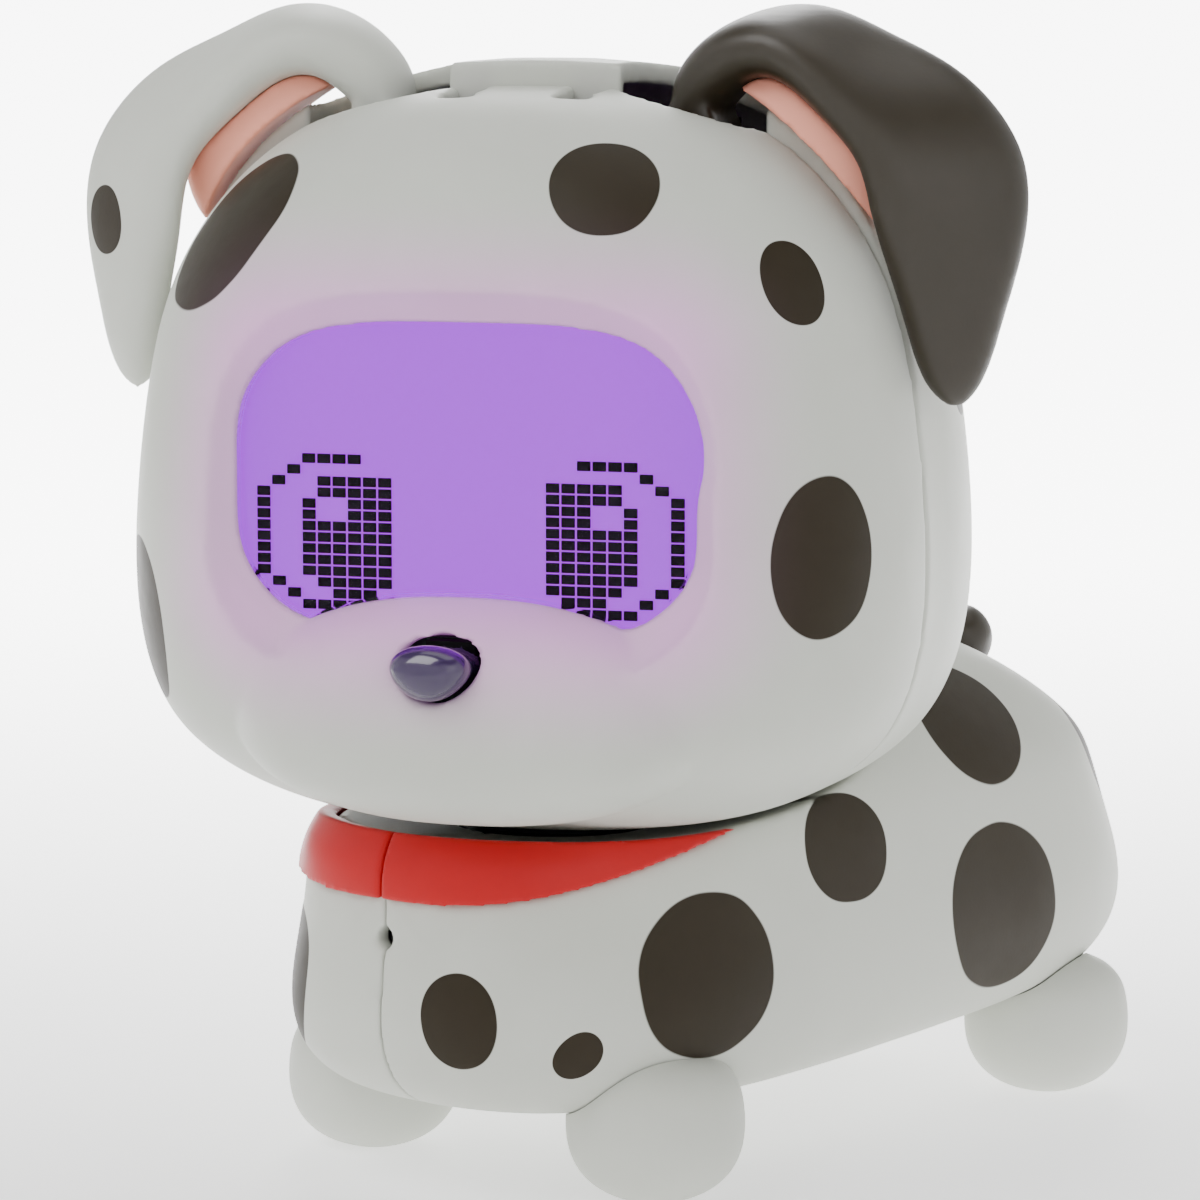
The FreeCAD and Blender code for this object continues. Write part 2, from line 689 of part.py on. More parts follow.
def inner_ear(solid_ear):
    """Pink lining that fills the arch just behind the front edge of the ear."""
    lining = Part.makeSphere(1.0)
    grow = FreeCAD.Matrix()
    grow.scale(11.0, 5.4, 11.0)
    lining = lining.transformGeometry(grow)
    lining.rotate(V(0, 0, 0), Y, -24)
    lining.translate(V(28.6, -5.2, 107.4))
    lining = lining.cut(egg(CROWN, -0.5)).cut(solid_ear)
    lining = lining.cut(box(0, 18.2, -30, 30, 90, 130))
    return largest(lining)


def ear_pin():
    return rod(EAR_PIVOT + V(0, -7.0, 0), Y, 14.0, 1.0)


def ear_bracket():
    """Two cheeks inside the head that hold the ear pin."""
    cheeks = []
    for y in (-7.1, 5.9):
        cheek = box(-2.6, 2.6, y, y + 1.2, -9.0, 1.6)
        cheek.translate(V(EAR_PIVOT.x, EAR_PIVOT.y, EAR_PIVOT.z))
        cheeks.append(cheek)
    bridge = box(-2.6, 2.6, -7.1, 7.1, -9.0, -7.6)
    bridge.translate(EAR_PIVOT)
    bracket = joined([bridge] + cheeks)
    return bracket.cut(rod(EAR_PIVOT + V(0, -8.0, 0), Y, 16.0, 1.0))


# Tail

def tail_slot():
    """Wide hole in the rump that lets the tail wag."""
    hole = rod(TAIL_PIVOT, V(0, TAIL_LEAN, 1.0), 16, 5.4)
    return tilted(hole)


def tail():
    """Stubby tail with an eye inside the body for its pin."""
    path = [(44.4, 41.8, 2.3), (45.9, 44.4, 3.7), (46.8, 46.6, 4.0), (46.9, 48.4, 3.2)]
    sections = []
    for i, (y, z, radius) in enumerate(path):
        before = path[max(i - 1, 0)]
        after = path[min(i + 1, len(path) - 1)]
        way = V(0, after[0] - before[0], after[1] - before[1]).normalize()
        sections.append(loop(V(0, y, z), X, X.cross(way), radius, radius, 2.0))
    curl = Part.makeLoft(sections + [Part.Vertex(0, 46.7, 49.4)], True, False)
    eye = rod(TAIL_PIVOT - Z * 2.4, Z, 4.8, 3.0)
    arm = rod(TAIL_PIVOT, Y, 3.6, 1.8)
    neck = rod(TAIL_PIVOT + Y * 3.6, V(0, 0.45, 1.0), 5.6, 1.8)
    elbow = Part.makeSphere(1.8, TAIL_PIVOT + Y * 3.6)
    bore = rod(TAIL_PIVOT - Z * 4, Z, 8, 1.05)
    return tilted(joined([eye, arm, elbow, neck, curl]).cut(bore))


def tail_pin():
    return tilted(rod(TAIL_PIVOT - Z * 4.2, Z, 8.0, 1.0))


def tail_bracket():
    """Fork that holds the tail pin above and below."""
    back = box(-2.6, 2.6, TAIL_PIVOT.y - 6.4, TAIL_PIVOT.y - 4.6, TAIL_PIVOT.z - 4.2, TAIL_PIVOT.z + 3.8)
    low = box(-2.6, 2.6, TAIL_PIVOT.y - 5, TAIL_PIVOT.y + 1.8, TAIL_PIVOT.z - 4.2, TAIL_PIVOT.z - 2.8)
    high = box(-2.6, 2.6, TAIL_PIVOT.y - 5, TAIL_PIVOT.y + 1.6, TAIL_PIVOT.z + 2.8, TAIL_PIVOT.z + 3.8)
    fork = joined([back, low, high])
    return tilted(fork.cut(rod(TAIL_PIVOT - Z * 4.2, Z, 8.0, 1.0)))


def save_body():
    skin = left_skin()
    save("body_shell_left", body_half(skin, 1))
    save("body_shell_right", body_half(mirrored(skin), -1))
    collar = collar_half()
    save("collar_left", collar)
    save("collar_right", mirrored(collar))
    for name, end in (("front", -1), ("rear", 1)):
        left_foot = foot(V(FOOT_X, end * FOOT_Y, 0))
        save("foot_" + name + "_left", left_foot)
        save("foot_" + name + "_right", mirrored(left_foot))
    save("foot_screws", foot_screws())
    save("body_screws", body_screws())
    save("chest_sensor", chest_sensor())
    save("battery_box", battery_box())
    for name, x, way in zip("abc", cell_x(), (1, -1, 1)):
        save("battery_" + name, battery(x, way))
    save("contact_plates", contact_plates())
    save("contact_springs", contact_springs())
    save("battery_door", battery_door())
    save("door_screw", door_screw())
    save("switch_housing", switch_housing())
    save("power_switch", power_switch())
    save("main_board", main_board())
    save("board_chips", board_chips())
    save("battery_leads", battery_leads())
    save("tail", tail())
    save("tail_pin", tail_pin())
    save("tail_bracket", tail_bracket())


def save_neck():
    save("neck_seat", neck_seat())
    save("neck_spindle", neck_spindle())
    save("neck_retainer", neck_retainer())
    save("neck_screws", neck_screws())
    save("neck_washer", neck_washer())
    save("neck_cable", neck_cable())
    save("cable_socket", cable_socket())


def save_head():
    save("head_front_shell", front_shell())
    save("head_rear_shell", rear_shell())
    save("head_screws", head_screws())
    save("screen_window", screen_window())
    save("lcd_panel", lcd_panel())
    save("light_guide", light_guide())
    save("led_board", led_board())
    save("leds", leds())
    save("screen_frame", screen_frame())
    save("head_board", head_board())
    save("head_chips", head_chips())
    save("nose_board", nose_board())
    save("nose_switch", nose_switch())
    save("nose_button", nose_button())
    save("speaker_frame", speaker_frame())
    save("speaker_magnet", speaker_magnet())
    save("speaker_cone", speaker_cone())
    save("speaker_bracket", speaker_bracket())


def save_ears():
    left_ear = ear()
    left_lining = inner_ear(left_ear)
    save("ear_left", turned_head(left_ear))
    save("ear_right", turned_head(mirrored(left_ear)))
    save("inner_ear_left", turned_head(left_lining))
    save("inner_ear_right", turned_head(mirrored(left_lining)))
    save("ear_pin_left", turned_head(ear_pin()))
    save("ear_pin_right", turned_head(mirrored(ear_pin())))
    save("ear_bracket_left", turned_head(ear_bracket()))
    save("ear_bracket_right", turned_head(mirrored(ear_bracket())))


save_body()
save_neck()
save_head()
save_ears()
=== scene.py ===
import json
import math

import bmesh
import bpy
import numpy as np
from mathutils import Matrix, Vector


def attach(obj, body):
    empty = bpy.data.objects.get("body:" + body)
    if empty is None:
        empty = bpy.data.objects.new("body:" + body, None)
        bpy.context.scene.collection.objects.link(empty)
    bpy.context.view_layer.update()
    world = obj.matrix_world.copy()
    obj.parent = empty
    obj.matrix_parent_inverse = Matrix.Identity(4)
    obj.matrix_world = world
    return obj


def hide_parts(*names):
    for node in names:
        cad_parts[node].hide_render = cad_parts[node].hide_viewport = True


# Robot dog toy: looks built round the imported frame, in metres.  The dog faces -Y and its left is +X.
# The head rests turned to the dog's left, so its markings are placed in the head's own axes.

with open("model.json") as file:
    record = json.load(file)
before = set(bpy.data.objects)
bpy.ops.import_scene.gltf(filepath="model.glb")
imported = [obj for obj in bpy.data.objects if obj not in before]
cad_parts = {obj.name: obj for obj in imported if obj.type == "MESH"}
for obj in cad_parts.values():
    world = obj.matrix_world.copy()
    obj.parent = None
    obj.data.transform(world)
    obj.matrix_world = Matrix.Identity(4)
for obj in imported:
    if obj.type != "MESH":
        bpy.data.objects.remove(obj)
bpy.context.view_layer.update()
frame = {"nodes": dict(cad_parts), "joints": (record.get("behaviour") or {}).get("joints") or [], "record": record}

MM = 0.001
JOINTS = {joint["name"]: joint for joint in frame["joints"]}
NODES = frame["nodes"]
BODIES = frame["record"]["behaviour"]["bodies"]
SLOT = {part["node"]: part["material_slot"] for part in frame["record"]["subparts"]}
HEAD_YAW = math.atan2(JOINTS["nose_press"]["axis"][0], -JOINTS["nose_press"]["axis"][1]) - math.pi
NECK = Vector(JOINTS["head_turn"]["pos_m"])
NECK.z = 0.0

# sRGB colours, chosen a little deeper than they look because the studio light washes them out
SHELL = (0.790, 0.800, 0.765)
SPOT = (0.165, 0.135, 0.080)
RED = (0.740, 0.090, 0.110)
PINK = (1.000, 0.665, 0.575)
PLUM = (0.185, 0.120, 0.270)
PLUM_PALE = (0.215, 0.140, 0.300)
VIOLET = (0.690, 0.030, 0.970)
VIOLET_EDGE = (0.660, 0.025, 0.950)
DOT = (0.030, 0.010, 0.045)
GLOW = (0.930, 0.640, 0.900)


def linear(colour):
    """sRGB triple to the linear RGBA that Blender's sockets take."""
    channels = [c / 12.92 if c <= 0.04045 else ((c + 0.055) / 1.055) ** 2.4 for c in colour]
    return (*channels, 1.0)


# Shader building blocks

class Graph:
    """Short names for the shader nodes that the materials below are made of."""

    def __init__(self, name):
        self.material = bpy.data.materials.new(name)
        self.material.use_nodes = True
        self.tree = self.material.node_tree
        self.nodes = self.tree.nodes
        self.shader = self.nodes["Principled BSDF"]

    def link(self, out, into):
        self.tree.links.new(out, into)

    def add(self, kind, **settings):
        node = self.nodes.new(kind)
        for key, value in settings.items():
            setattr(node, key, value)
        return node

    def feed(self, socket, value):
        """A socket takes either another node's output or a plain value."""
        if isinstance(value, bpy.types.NodeSocket):
            self.link(value, socket)
        else:
            socket.default_value = value

    def math(self, operation, a, b=0.0, c=0.0, clamp=False):
        node = self.add("ShaderNodeMath", operation=operation, use_clamp=clamp)
        for socket, value in zip(node.inputs, (a, b, c)):
            self.feed(socket, value)
        return node.outputs[0]

    def vector(self, operation, a, b=(0.0, 0.0, 0.0)):
        node = self.add("ShaderNodeVectorMath", operation=operation)
        self.feed(node.inputs[0], a)
        self.feed(node.inputs[1], b)
        return node.outputs["Value"] if operation in ("DOT_PRODUCT", "LENGTH") else node.outputs[0]

    def place(self):
        """Position in the frame at rest, which every piece keeps as it moves."""
        return self.add("ShaderNodeTexCoord").outputs["Object"]

    def head_place(self):
        """Position about the neck axis, in millimetres, with the face towards -Y."""
        turn = self.add("ShaderNodeVectorRotate", rotation_type="Z_AXIS")
        self.feed(turn.inputs["Vector"], self.place())
        turn.inputs["Center"].default_value = NECK
        turn.inputs["Angle"].default_value = -HEAD_YAW
        moved = self.vector("SUBTRACT", turn.outputs[0], tuple(NECK))
        return self.vector("MULTIPLY", moved, (1000.0, 1000.0, 1000.0))

    def body_place(self):
        """Position in the frame, in millimetres from the neck axis."""
        moved = self.vector("SUBTRACT", self.place(), tuple(NECK))
        return self.vector("MULTIPLY", moved, (1000.0, 1000.0, 1000.0))

    def noise(self, scale, detail=2.0, where=None):
        node = self.add("ShaderNodeTexNoise")
        self.feed(node.inputs["Vector"], where or self.place())
        node.inputs["Scale"].default_value = scale
        node.inputs["Detail"].default_value = detail
        return node.outputs["Fac"]

    def ramp(self, value, low, high):
        """0 below low, 1 above high, smooth between."""
        node = self.add("ShaderNodeMapRange", interpolation_type="SMOOTHSTEP")
        self.feed(node.inputs["Value"], value)
        node.inputs["From Min"].default_value = low
        node.inputs["From Max"].default_value = high
        return node.outputs["Result"]

    def mix(self, factor, a, b):
        node = self.add("ShaderNodeMix", data_type="RGBA")
        self.feed(node.inputs["Factor"], factor)
        self.feed(node.inputs[6], a)
        self.feed(node.inputs[7], b)
        return node.outputs[2]

    def bump(self, height, strength, distance):
        node = self.add("ShaderNodeBump")
        self.feed(node.inputs["Height"], height)
        node.inputs["Strength"].default_value = strength
        node.inputs["Distance"].default_value = distance
        self.link(node.outputs[0], self.shader.inputs["Normal"])

    def set(self, **values):
        for name, value in values.items():
            self.feed(self.shader.inputs[name.replace("_", " ")], value)


SPOT_ROUNDNESS = 2.1   # 2 is an ellipse, more is squarer
SPOT_WOBBLE = 0.34


def spot_field(graph, where, spots, depth):
    """1 inside any of the oval spots, 0 outside, down to depth behind each.  In millimetres."""
    wobble = graph.math("SUBTRACT", graph.noise(95.0, 1.0), 0.5)
    wobble = graph.math("MULTIPLY", wobble, SPOT_WOBBLE)
    total = None
    for centre, facing, lean, half_wide, half_high in spots:
        normal = Vector(facing).normalized()
        across = normal.cross(Vector((0, 0, 1))).normalized()
        upright = across.cross(normal).normalized()
        lean_turn = Matrix.Rotation(math.radians(lean), 3, normal)
        across, upright = lean_turn @ across, lean_turn @ upright
        offset = graph.vector("SUBTRACT", where, centre)
        u = graph.math("DIVIDE", graph.vector("DOT_PRODUCT", offset, tuple(across)), half_wide)
        v = graph.math("DIVIDE", graph.vector("DOT_PRODUCT", offset, tuple(upright)), half_high)
        w = graph.math("DIVIDE", graph.vector("DOT_PRODUCT", offset, tuple(normal)), depth)
        square = graph.math("ADD", graph.math("POWER", graph.math("ABSOLUTE", u), SPOT_ROUNDNESS),
                            graph.math("POWER", graph.math("ABSOLUTE", v), SPOT_ROUNDNESS))
        square = graph.math("ADD", square, graph.math("POWER", graph.math("ABSOLUTE", w), 8.0))
        edge = graph.math("ADD", square, wobble)
        inside = graph.math("SUBTRACT", 1.0, graph.ramp(edge, 0.97, 1.03))
        total = inside if total is None else graph.math("MAXIMUM", total, inside)
    return total


# Materials

HEAD_SPOTS = [
    # centre about the neck axis, way it faces, lean in degrees, half width, half height
    ((13.9, -26.7, 105.6), (0.24, -0.70, 0.68), 0, 5.6, 5.9),
    ((31.5, -22.3, 95.7), (0.72, -0.49, 0.50), 0, 3.7, 4.5),
    ((36.4, -25.3, 68.8), (0.78, -0.62, 0.03), 0, 6.2, 8.2),
    ((-27.0, -22.9, 100.2), (-0.50, -0.50, 0.71), -20, 7.6, 9.6),
    ((-39.0, -24.0, 60.0), (-0.85, -0.53, 0.0), 0, 6.4, 8.6),
    ((41.5, 12.0, 88.0), (1.0, 0.15, 0.1), 10, 6.0, 7.5),
    ((-41.0, 14.0, 84.0), (-1.0, 0.2, 0.1), -12, 6.5, 8.0),
    ((14.0, 36.0, 96.0), (0.2, 1.0, 0.3), 15, 6.6, 5.4),
    ((-16.0, 36.0, 68.0), (-0.2, 1.0, 0.0), -15, 7.4, 9.0),
    ((22.0, 36.0, 57.0), (0.3, 1.0, -0.1), 0, 4.0, 4.8),
]

BODY_SPOTS = [
    ((25.1, -4.6, 23.8), (0.97, -0.21, 0.12), 12, 9.0, 8.6),
    ((25.2, 18.4, 34.1), (0.98, 0.0, 0.21), -6, 6.7, 6.0),
    ((27.0, 44.9, 24.4), (1.0, 0.0, 0.08), 8, 9.6, 9.2),
    ((20.8, 46.9, 45.0), (0.74, 0.05, 0.68), -35, 8.0, 8.4),
    ((9.9, -26.9, 20.3), (0.27, -0.96, 0.08), 10, 4.4, 4.9),
    ((19.7, -19.3, 16.8), (0.83, -0.53, -0.18), 38, 2.9, 2.4),
    ((17.5, 76.0, 38.0), (0.6, 0.8, 0.2), 0, 5.5, 6.6),
    ((-18.0, -24.0, 21.5), (-0.65, -0.76, 0.0), 0, 6.0, 7.6),
    ((-27.0, 8.0, 30.0), (-1.0, 0.0, 0.1), 10, 7.0, 8.4),
    ((-27.0, 36.0, 22.0), (-1.0, 0.1, 0.0), -14, 6.2, 7.4),
    ((-22.0, 54.0, 40.0), (-0.8, 0.4, 0.5), 20, 5.0, 6.0),
    ((-12.0, 80.0, 24.0), (-0.3, 1.0, 0.0), 12, 4.4, 5.2),
]
EAR_SPOTS = [((-46.9, -7.7, 100.6), (-0.6, -0.8, 0.0), 12, 3.4, 3.7)]


def moulded(graph, colour, rough, grain=2600.0, depth=0.035, shine=0.20):
    """Satin moulded plastic: faint mottling, a fine spark-eroded grain and uneven gloss."""
    mottle = graph.ramp(graph.noise(60.0, 3.0), 0.35, 0.70)
    darker = graph.vector("MULTIPLY", colour, (0.955, 0.955, 0.950))
    graph.set(Base_Color=graph.mix(mottle, colour, darker))
    gloss = graph.math("MULTIPLY_ADD", graph.noise(420.0, 3.0), 0.10, rough - 0.05)
    graph.set(Roughness=gloss, Specular_IOR_Level=shine)
    graph.bump(graph.noise(grain, 2.0), depth, 0.0002)


def plastic(name, colour, rough=0.42, grain=2600.0, depth=0.035, shine=0.20):
    graph = Graph(name)
    moulded(graph, graph_colour(graph, colour), rough, grain, depth, shine)
    return graph.material


def graph_colour(graph, colour):
    node = graph.add("ShaderNodeRGB")
    node.outputs[0].default_value = linear(colour)
    return node.outputs[0]


def spotted(name, spots, head, depth=14.0):
    """Grey shell with printed brown spots; on the head the screen's light shows round it."""
    graph = Graph(name)
    where = graph.head_place() if head else graph.body_place()
    inside = spot_field(graph, where, spots, depth)
    colour = graph.mix(inside, linear(SHELL), linear(SPOT))
    if head:
        clear = graph.math("MULTIPLY_ADD", inside, -0.92, 1.0)
        halo = graph.math("MULTIPLY", screen_halo(graph, where), clear)
        colour = graph.mix(graph.math("MULTIPLY", halo, 0.70), colour, linear(GLOW))
        graph.set(Emission_Color=linear((0.80, 0.35, 0.85)))
        graph.set(Emission_Strength=graph.math("MULTIPLY", halo, 0.17))
    moulded(graph, colour, 0.44)
    return graph.material


# The lit window about the neck axis, in millimetres, and how far its light spreads
WINDOW_HALF_WIDE, WINDOW_HALF_HIGH, WINDOW_MIDDLE_Z = 20.0, 11.5, 77.0
HALO_REACH = 17.0
SCREEN_GLOW = 1.5


def screen_halo(graph, where):
    """How much of the screen's light reaches the face, falling off outwards from the window."""
    split = graph.add("ShaderNodeSeparateXYZ")
    graph.feed(split.inputs[0], where)
    across = graph.math("SUBTRACT", graph.math("ABSOLUTE", split.outputs[0]), WINDOW_HALF_WIDE)
    rise = graph.math("ABSOLUTE", graph.math("SUBTRACT", split.outputs[2], WINDOW_MIDDLE_Z))
    rise = graph.math("SUBTRACT", rise, WINDOW_HALF_HIGH)
    out = graph.math("POWER", graph.math("MAXIMUM", across, 0.0), 2.0)
    out = graph.math("ADD", out, graph.math("POWER", graph.math("MAXIMUM", rise, 0.0), 2.0))
    away = graph.math("SQRT", out)
    near = graph.math("SUBTRACT", 1.0, graph.ramp(away, 1.0, HALO_REACH))
    front = graph.math("SUBTRACT", 1.0, graph.ramp(split.outputs[1], -34.0, -18.0))
    return graph.math("MULTIPLY", near, front)


def metal(name, colour, rough=0.3):
    graph = Graph(name)
    streak = graph.ramp(graph.noise(900.0, 4.0), 0.3, 0.8)
    base = graph_colour(graph, colour)
    graph.set(Base_Color=graph.mix(streak, base, graph.vector("MULTIPLY", base, (0.82, 0.82, 0.84))))
    graph.set(Metallic=1.0, Roughness=graph.math("MULTIPLY_ADD", streak, 0.16, rough))
    return graph.material


def display_material():
    """Back-lit display glass, a little brighter towards its middle."""
    graph = Graph("display_lit")
    where = graph.head_place()
    split = graph.add("ShaderNodeSeparateXYZ")
    graph.feed(split.inputs[0], where)
    off = graph.math("ABSOLUTE", split.outputs[0])
    edge = graph.ramp(off, 14.0, 27.0)
    colour = graph.mix(edge, linear(VIOLET), linear(VIOLET_EDGE))
    graph.set(Base_Color=(0.02, 0.01, 0.03, 1.0), Roughness=0.5)
    graph.set(Emission_Color=colour, Emission_Strength=SCREEN_GLOW)
    return graph.material


def window_material():
    """Clear glossy cover with a faint haze."""
    graph = Graph("window_cover")
    graph.set(Base_Color=(0.96, 0.94, 1.0, 1.0), IOR=1.06, Transmission_Weight=1.0)
    graph.set(Roughness=graph.math("MULTIPLY", graph.noise(300.0, 2.0), 0.05))
    return graph.material


def nose_material():
    graph = Graph("nose_gloss")
    swirl = graph.ramp(graph.noise(220.0, 2.0), 0.3, 0.7)
    graph.set(Base_Color=graph.mix(swirl, linear(PLUM), linear(PLUM_PALE)))
    graph.set(Roughness=graph.math("MULTIPLY_ADD", swirl, 0.08, 0.14), Coat_Weight=0.6, Coat_Roughness=0.06)
    return graph.material


def board_material():
    """Green circuit board with copper tracks under the mask."""
    graph = Graph("board_mask")
    brick = graph.add("ShaderNodeTexBrick")
    graph.feed(brick.inputs["Vector"], graph.place())
    brick.inputs["Scale"].default_value = 260.0
    brick.inputs["Color1"].default_value = linear((0.06, 0.30, 0.14))
    brick.inputs["Color2"].default_value = linear((0.08, 0.36, 0.17))
    brick.inputs["Mortar"].default_value = linear((0.20, 0.45, 0.22))
    graph.set(Base_Color=brick.outputs["Color"], Roughness=0.35)
    return graph.material


def cell_material():
    """Printed sleeve of a plain cell: dark with a paler band near one end."""
    graph = Graph("cell_sleeve")
    split = graph.add("ShaderNodeSeparateXYZ")
    graph.feed(split.inputs[0], graph.place())
    band = graph.ramp(graph.math("ABSOLUTE", split.outputs[1]), 0.011, 0.0115)
    graph.set(Base_Color=graph.mix(band, linear((0.12, 0.15, 0.22)), linear((0.70, 0.52, 0.20))))
    graph.set(Metallic=0.5, Roughness=0.32)
    return graph.material


def slot_materials():
    black = plastic("inner_black", (0.070, 0.070, 0.078), 0.55)
    return {
        "shell_grey": plastic("shell_plain", SHELL, 0.44),
        "ear_dark": plastic("ear_brown", SPOT, 0.40, shine=0.55),
        "collar_red": plastic("collar_red", RED, 0.36),
        "lining_pink": plastic("lining_pink", PINK, 0.46),
        "nose_plum": nose_material(),
        "window_clear": window_material(),
        "lcd_lit": display_material(),
        "diffuser": plastic("light_guide", (0.90, 0.88, 0.94), 0.5),
        "frame_black": black,
        "board_green": board_material(),
        "chip_black": plastic("chip_case", (0.06, 0.06, 0.06), 0.6),
        "led_white": plastic("lamp_case", (0.94, 0.92, 0.80), 0.3),
        "steel": metal("plated_steel", (0.66, 0.66, 0.68), 0.28),
        "spring_steel": metal("nickel_steel", (0.80, 0.79, 0.76), 0.18),
        "cell_wrap": cell_material(),
        "lead_red": plastic("lead_jacket", (0.60, 0.08, 0.08), 0.5),
        "cone_paper": plastic("cone_paper", (0.11, 0.11, 0.12), 0.9, 1400.0, 0.4),
        "sensor_clear": plastic("sensor_lens", (0.10, 0.09, 0.11), 0.08),
        "knob_black": plastic("knob_black", (0.09, 0.09, 0.10), 0.5),
    }


MATERIALS = slot_materials()
MATERIALS["head_shell"] = spotted("head_shell_spotted", HEAD_SPOTS, True)
MATERIALS["body_shell"] = spotted("body_shell_spotted", BODY_SPOTS, False)
MATERIALS["ear_light"] = spotted("ear_light_spotted", EAR_SPOTS, True, 3.0)


def dress(obj, material):
    obj.data.materials.clear()
    obj.data.materials.append(material)


def shade_smooth(obj, degrees=35.0):
    """Smooth shading with sharp edges left where faces turn by more than the angle."""
    obj.data.shade_smooth()
    obj.data.set_sharp_from_angle(angle=math.radians(degrees))


def soften(values, links, weight, rounds):
    """Moves each vertex towards the mean of its neighbours, by weight, rounds times."""
    first, second = links
    count = np.bincount(first, minlength=len(values)) + np.bincount(second, minlength=len(values))
    count = np.maximum(count, 1)[:, None]
    for _ in range(rounds):
        total = np.zeros_like(values)
        np.add.at(total, first, values[second])
        np.add.at(total, second, values[first])
        values += (total / count - values) * weight[:, None]
    return values


def moulded_copy(node, step, weigh, rounds):
    """Finer copy of a CAD shell, remeshed every step, with its creases melted like a real moulding."""
    source = NODES[node]
    piece = bpy.data.objects.new(node + "_skin", source.data.copy())
    bpy.context.scene.collection.objects.link(piece)
    remesh = piece.modifiers.new("voxels", "REMESH")
    remesh.mode = "VOXEL"
    remesh.voxel_size = step
    graph = bpy.context.evaluated_depsgraph_get()
    mesh = bpy.data.meshes.new_from_object(piece.evaluated_get(graph))
    piece.modifiers.clear()
    piece.data = mesh
    count = len(mesh.vertices)
    co = np.empty(count * 3)
    mesh.vertices.foreach_get("co", co)
    co = co.reshape(-1, 3)
    ends = np.empty(len(mesh.edges) * 2, dtype=np.int32)
    mesh.edges.foreach_get("vertices", ends)
    ends = ends.reshape(-1, 2)
    co = soften(co, (ends[:, 0], ends[:, 1]), weigh(co), rounds)
    mesh.vertices.foreach_set("co", co.reshape(-1))
    mesh.update()
    mesh.shade_smooth()
    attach(piece, next(body for body, names in BODIES.items() if node in names))
    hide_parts(node)
    return piece


def in_head_axes(co):
    """Vertex places about the neck axis in millimetres, with the face towards -Y."""
    shifted = (co - np.array(NECK)) / MM
    c, s = math.cos(-HEAD_YAW), math.sin(-HEAD_YAW)
    x = shifted[:, 0] * c - shifted[:, 1] * s
    y = shifted[:, 0] * s + shifted[:, 1] * c
    return np.stack([x, y, shifted[:, 2]], 1)


def even_weight(value):
    return lambda co: np.full(len(co), value)


STILL = 0.05   # weight where a shape is kept crisp


def crown_kept(co, weight):
    """No melting on top of the head, where the slots and the raised edge are crisp."""
    return np.where(in_head_axes(co)[:, 2] > 106.0, STILL, weight)


def rear_weight(co):
    return crown_kept(co, 0.4)


def chest_kept(co):
    """Melts the body's edges but keeps the low diamond on the chest."""
    place = (co - np.array(NECK)) / MM
    diamond = (np.abs(place[:, 0]) < 7.0) & (place[:, 1] < -20.0)
    return np.where(diamond, STILL, 0.4)


def face_weight(co):
    """Melts the crease under the muzzle, softens the one above it and keeps the nose's seat."""
    place = in_head_axes(co)
    x, y, z = place[:, 0], place[:, 1], place[:, 2]
    crease = np.exp(-((np.hypot(x / 24.0, (z - 51.0) / 12.0) - 1.0) / 0.30) ** 2)
    crease *= (y < -26.0) / (1.0 + np.exp((z - 47.5) / 1.2))
    nose_seat = (np.abs(x) < 9.0) & (z > 52.0) & (z < 64.0) & (y < -34.0)
    return crown_kept(co, np.where(nose_seat, 0.08, 0.15 + 0.55 * crease))


# Screen picture: two round eyes drawn with display dots, in millimetres in the head's axes

DOT_W, DOT_H = 1.64, 1.15
EYE_COLUMNS, EYE_ROWS = 9, 14
EYE_X, EYE_Z = 15.5, 70.3
PICTURE_Y = -28.5


def eye_dots():
    """Columns and rows of one eye's dark dots: an eight-sided ring, open inside, beside a pupil."""
    middle = (EYE_ROWS - 1) / 2
    dots = {(round(max(0.0, abs(row - middle) - 3.5)), row) for row in range(EYE_ROWS)}
    dots |= {(column, row) for column in range(3, 7) for row in (0, EYE_ROWS - 1)}
    for row in range(1, EYE_ROWS - 1):
        for column in range(3, EYE_COLUMNS):
            pupil = (abs(column - 5.9) / 3.3) ** 2.6 + (abs(row - 6.8) / 5.7) ** 2.6
            glint = math.hypot(column - 4.5, row - 4.5)
            if pupil <= 1.0 and glint > 0.8:
                dots.add((column, row))
    return sorted(dots)


def screen_picture():
    """Thin dot plates just in front of the display, mirrored for the two eyes."""
    mesh = bpy.data.meshes.new("screen_dots")
    build = bmesh.new()
    for side in (-1, 1):
        for column, row in eye_dots():
            x = side * (EYE_X - (column - 4.0) * DOT_W)
            z = EYE_Z - (row - 6.5) * DOT_H
            cell = bmesh.ops.create_cube(build, size=1.0)["verts"]
            size = Matrix.Diagonal((DOT_W * 0.88, 0.12, DOT_H * 0.86)).to_4x4()
            bmesh.ops.transform(build, matrix=Matrix.Translation((x, PICTURE_Y, z)) @ size, verts=cell)
    bmesh.ops.bevel(build, geom=build.edges[:], offset=0.05, segments=1, affect="EDGES")
    turn = Matrix.Translation(NECK) @ Matrix.Rotation(HEAD_YAW, 4, "Z") @ Matrix.Scale(MM, 4)
    bmesh.ops.transform(build, matrix=turn, verts=build.verts[:])
    build.to_mesh(mesh)
    build.free()
    piece = bpy.data.objects.new("screen_dots", mesh)
    bpy.context.scene.collection.objects.link(piece)
    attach(piece, "head")
    dress(piece, plastic("dot_ink", DOT, 0.6))
    return piece


# Dressing the frame

for name, node in NODES.items():
    dress(node, MATERIALS[SLOT[name]])
    shade_smooth(node)

